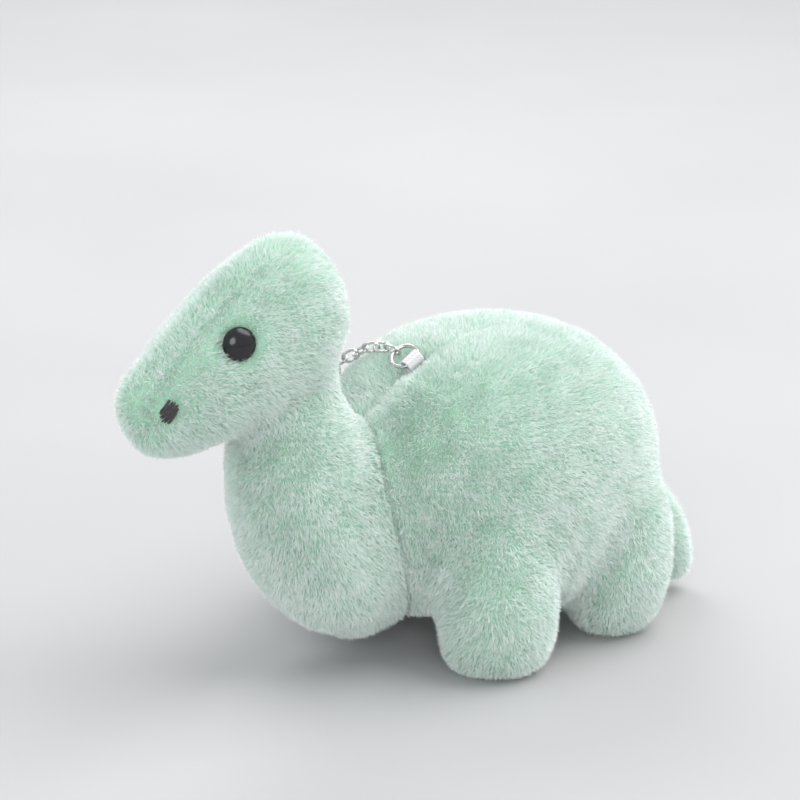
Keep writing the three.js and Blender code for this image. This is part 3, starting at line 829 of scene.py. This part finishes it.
def turned(name, profile, place, axis, material, segments=48):
    """A closed solid of revolution about axis. profile is (radius, height) from one end to the other."""
    turn = axis.to_track_quat("Z", "Y").to_matrix()
    vertices = []
    faces = []
    rings = [(r, h) for r, h in profile if r > 1e-7]
    for radius, height in rings:
        for k in range(segments):
            angle = 2 * math.pi * k / segments
            corner = Vector((radius * math.cos(angle), radius * math.sin(angle), height))
            vertices.append(place + turn @ corner)
    for ring in range(len(rings) - 1):
        for k in range(segments):
            a, b = ring * segments + k, ring * segments + (k + 1) % segments
            faces.append((a, b, b + segments, a + segments))
    last = (len(rings) - 1) * segments
    for (_, height), base, forward in ((profile[0], 0, False), (profile[-1], last, True)):
        vertices.append(place + turn @ Vector((0, 0, height)))
        pole = len(vertices) - 1
        for k in range(segments):
            a, b = base + k, base + (k + 1) % segments
            faces.append((a, b, pole) if forward else (b, a, pole))
    return new_object(name, vertices, faces, material)


def make_eyes():
    """Each eye is a dome over a thin rounded rim, with a shank through the cloth to its washer."""
    material = eye_material()
    steps = 14
    for eye in EYES:
        rim = 0.16 * eye.height
        shank = 0.19 * eye.radius * 2
        profile = [(0, -eye.shank), (shank, -eye.shank), (shank, -0.1 * MM), (shank * 1.1, 0)]
        profile += [(eye.radius * 0.94, 0), (eye.radius * 0.985, rim * 0.3)]
        for step in range(steps + 1):
            angle = step / steps * math.pi / 2
            profile.append((eye.radius * math.cos(angle), rim + (eye.height - rim) * math.sin(angle)))
        piece = turned(f"{eye.name}_dome", profile, eye.flange, eye.axis, material)
        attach(piece, "toy")
        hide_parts(eye.name)


class Nostril:
    """Where a packed nostril is: its middle, its frame (across, up, out) and its sizes."""

    def __init__(self, side):
        self.name = f"nostril_{side}"
        points = node_points(self.name)
        self.centre = points.mean(0)
        self.frame = np.linalg.svd(points - self.centre, full_matrices=False)[2]
        if self.frame[2][0] * self.centre[0] < 0:
            self.frame[2] *= -1
        self.radius = np.abs((points - self.centre) @ self.frame[0]).max()
        self.axis = self.frame[2]
        self.seat = self.centre
        self.lift = 1.2 * MM  # of the cloth towards it
        self.shorter = 0.3  # share that the pile beside it loses
        self.half_height = np.abs((points - self.centre) @ self.frame[1]).max()
        self.half_depth = np.abs((points - self.centre) @ self.frame[2]).max()


def tube(path, radius, sides):
    """Vertices and faces of a round tube along path, with flat ends."""
    path = [Vector(p) for p in path]
    last = len(path) - 1
    vertices = []
    faces = []
    reference = (path[1] - path[0]).normalized().orthogonal().normalized()
    for i, point in enumerate(path):
        forward = (path[min(i + 1, last)] - path[max(i - 1, 0)]).normalized()
        reference = (reference - forward * reference.dot(forward)).normalized()
        other = forward.cross(reference)
        for k in range(sides):
            angle = 2 * math.pi * k / sides
            vertices.append(point + (reference * math.cos(angle) + other * math.sin(angle)) * radius)
    for i in range(last):
        for k in range(sides):
            a = i * sides + k
            b = i * sides + (k + 1) % sides
            faces.append((a, b, b + sides, a + sides))
    faces.append(tuple(range(sides))[::-1])
    faces.append(tuple(last * sides + k for k in range(sides)))
    return vertices, faces


def joined(name, parts, material):
    """Several sets of vertices and faces as one object."""
    vertices = []
    faces = []
    for more_vertices, more_faces in parts:
        faces += [tuple(len(vertices) + i for i in face) for face in more_faces]
        vertices += more_vertices
    return new_object(name, vertices, faces, material)


def make_nostrils():
    """Each nostril is a pad of satin stitches, laid slantwise and not quite evenly."""
    material = thread_material()
    for nostril in NOSTRILS:
        rng = np.random.default_rng(7)
        across, up, out = nostril.frame
        stitches = []
        for i in range(STITCHES):
            share = (i + 0.5) / STITCHES * 2 - 1
            middle = nostril.centre + across * share * (nostril.radius - THREAD)
            half = nostril.half_height * 0.82 * math.sqrt(1 - 0.8 * share**2) + rng.uniform(-0.1, 0.45) * MM
            slant = rng.uniform(0.2, 0.6) * MM
            sag = rng.uniform(0.2, 0.5) * MM
            path = []
            for step in range(9):
                t = step / 4 - 1
                rise = (nostril.half_depth + 0.05 * MM) * (1 - abs(t) ** 3) * (1 - 0.3 * share**2)
                path.append(middle + up * half * t + across * slant * t + out * (rise - sag))
            stitches.append(tube(path, THREAD * rng.uniform(0.85, 1.1), 8))
        piece = joined(f"{nostril.name}_stitches", stitches, material)
        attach(piece, "toy")
        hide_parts(nostril.name)


# ------------------------------------------------------------------ hardware
def ring_frame(name):
    """A packed ring's middle, its axes (long, wide, through) and its half sizes along them."""
    points = node_points(name)
    axes = np.linalg.svd(points - points.mean(0), full_matrices=False)[2]
    reach = (points - points.mean(0)) @ axes.T
    centre = points.mean(0) + axes.T @ ((reach.max(0) + reach.min(0)) / 2)
    return centre, axes, (reach.max(0) - reach.min(0)) / 2


def make_wire_ring(name, material, gap_degrees):
    """A bent wire ring or link with its two cut ends almost touching, in the place of a packed one."""
    centre, (long, wide, _), (half_long, half_wide, wire) = ring_frame(name)
    radius = half_wide - wire
    stretch = half_long - half_wide
    steps = 56
    gap = math.radians(gap_degrees)
    path = []
    for i in range(steps + 1):
        angle = math.pi / 2 + gap / 2 + (2 * math.pi - gap) * i / steps
        x = radius * math.cos(angle)
        shift = stretch * max(-1.0, min(1.0, x / radius * 6))  # parts the two halves of a long link
        path.append(centre + long * (x + shift) + wide * radius * math.sin(angle))
    piece = joined(f"{name}_wire", [tube(path, wire, 14)], material)
    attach(piece, name)
    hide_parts(name)


def make_split_ring(material):
    """Spring wire wound twice round, and cranked between its turns so that they lie flat."""
    name = "split_ring"
    centre, (long, wide, through), (half_long, _, half_through) = ring_frame(name)
    wire = half_through * 0.32
    radius = half_long - wire
    steps = 180
    path = []
    for i in range(steps + 1):
        t = i / steps
        angle = 2 * math.pi * 2 * t
        turn = t * 2 - 1
        level = max(-1.0, min(1.0, turn * 9)) * wire * 1.05  # the crank is in the middle of the wire
        flat = long * radius * math.cos(angle) + wide * radius * math.sin(angle)
        path.append(centre + flat + through * level)
    piece = joined(f"{name}_coil", [tube(path, wire, 14)], material)
    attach(piece, name)
    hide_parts(name)


def tape_profile(outer, tail):
    """The folded tape seen along its width: up from the seam, round the ring, and down again."""
    radius = outer * 0.74
    stem = tail - radius * 1.5
    apart = TAPE_THICKNESS * 0.62
    opening = 0.62  # radians from straight down to where the fold begins
    profile = [Vector((apart, -tail + stem * step / 5)) for step in range(6)]
    for step in range(25):
        angle = -math.pi / 2 + opening + (2 * math.pi - 2 * opening) * step / 24
        profile.append(Vector((radius * math.cos(angle), radius * math.sin(angle))))
    return profile + [Vector((-apart, -radius * 1.5 - stem * step / 5)) for step in range(6)]


def band(profile, place, columns=12):
    """A closed band of the tape's thickness along profile, whose long edges lift a little outwards. place
    turns a point in the profile's plane and a share of the width into a point in the scene."""
    vertices = []
    faces = []
    for layer in (-0.5, 0.5):
        for i, point in enumerate(profile):
            ahead = profile[min(i + 1, len(profile) - 1)] - profile[max(i - 1, 0)]
            normal = Vector((ahead.y, -ahead.x)).normalized()
            spot = point + normal * TAPE_THICKNESS * layer
            for k in range(columns + 1):
                share = k / columns - 0.5
                edge = 1 + 0.12 * abs(share * 2) ** 6 * (1 if layer > 0 else -1)
                vertices.append(place(point + (spot - point) * edge, share))
    row = columns + 1
    sheet = len(profile) * row
    for i in range(len(profile) - 1):
        for k in range(columns):
            a = i * row + k
            faces.append((a, a + row, a + row + 1, a + 1))
            faces.append((sheet + a, sheet + a + 1, sheet + a + row + 1, sheet + a + row))
        for k in (0, columns):
            a = i * row + k
            side = (a, sheet + a, sheet + a + row, a + row)
            faces.append(side if k == 0 else side[::-1])
    for i in (0, len(profile) - 1):
        for k in range(columns):
            a = i * row + k
            end = (a, a + 1, sheet + a + 1, sheet + a)
            faces.append(end if i == 0 else end[::-1])
    return vertices, faces


def make_tape():
    """The woven tape, folded double round its ring and sewn into the back seam."""
    swing = next(joint for joint in frame["joints"] if joint["child"] == "tape_ring")
    eye = Vector(swing["pos_m"])
    along = Vector(swing["axis"]).normalized()
    sideways = Vector((1, 0, 0))
    upward = sideways.cross(along).normalized()
    upward = upward if upward.z > 0 else -upward
    points = node_points("tape_loop")
    width = float(np.ptp(points @ np.array(along))) * 0.95
    height = (points - np.array(eye)) @ np.array(upward)
    profile = tape_profile(outer=float(height.max()), tail=float(-height.min()))

    def place(point, share):
        return eye + sideways * point.x + upward * point.y + along * width * share

    piece = new_object("tape_band", *band(profile, place), tape_material())
    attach(piece, "toy")
    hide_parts("tape_loop")


def make_hardware():
    """The tape, the ring in it, the chain and the rings at its end."""
    metal = metal_material()
    make_wire_ring("tape_ring", metal, 3)
    for link in LINKS:
        make_wire_ring(link, metal, 5)
    make_wire_ring("end_ring", metal, 3)
    make_split_ring(metal)
    make_tape()


# ------------------------------------------------------------------ washers
def finish_washers():
    """The eyes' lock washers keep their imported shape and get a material."""
    washer = washer_material()
    for name, node in frame["nodes"].items():
        if "washer" in name:
            node.data.materials.clear()
            node.data.materials.append(washer)


# ------------------------------------------------------------------ stage
def make_stage():
    """A pale floor under a pale even sky, one large soft key light and two weaker ones."""
    material, tree, shader = new_material("pale_floor", roughness=0.7)
    colour = ramp(tree, mottled(tree, 6), [(0.3, (0.43, 0.43, 0.43)), (0.7, (0.46, 0.46, 0.46))])
    tree.links.new(colour, shader.inputs["Base Color"])
    half = 3.0
    corners = [(-half, -half, 0), (half, -half, 0), (half, half, 0), (-half, half, 0)]
    new_object("floor", corners, [(0, 1, 2, 3)], material)
    world = bpy.data.worlds.new("studio")
    world.use_nodes = True
    background = world.node_tree.nodes["Background"]
    background.inputs["Color"].default_value = (0.93, 0.95, 1.0, 1)
    background.inputs["Strength"].default_value = 0.84
    bpy.context.scene.world = world
    bpy.context.scene.view_settings.view_transform = "Standard"
    add_light("key", (0.25, 0.62, 1.0), size=1.3, power=14.5, colour=(1.0, 0.985, 0.975))
    add_light("back", (-0.75, 0.25, 0.65), size=0.6, power=3.0, colour=(1.0, 1.0, 1.0))
    add_light("fill", (0.85, -0.65, 0.5), size=0.6, power=4.0, colour=(0.98, 1.0, 0.985))


def add_light(name, place, size, power, colour):
    data = bpy.data.lights.new(name, "AREA")
    data.shape = "DISK"
    data.size = size
    data.energy = power
    data.color = colour
    light = bpy.data.objects.new(name, data)
    aim = Vector((0, 0, 0.05)) - Vector(place)
    light.matrix_world = Matrix.Translation(place) @ aim.to_track_quat("-Z", "Y").to_matrix().to_4x4()
    bpy.context.scene.collection.objects.link(light)


# ------------------------------------------------------------------ the scene
make_camera()
make_stage()
EYES = [Eye("left"), Eye("right")]
NOSTRILS = [Nostril("left"), Nostril("right")]
dress_toy()
make_eyes()
make_nostrils()
make_hardware()
finish_washers()
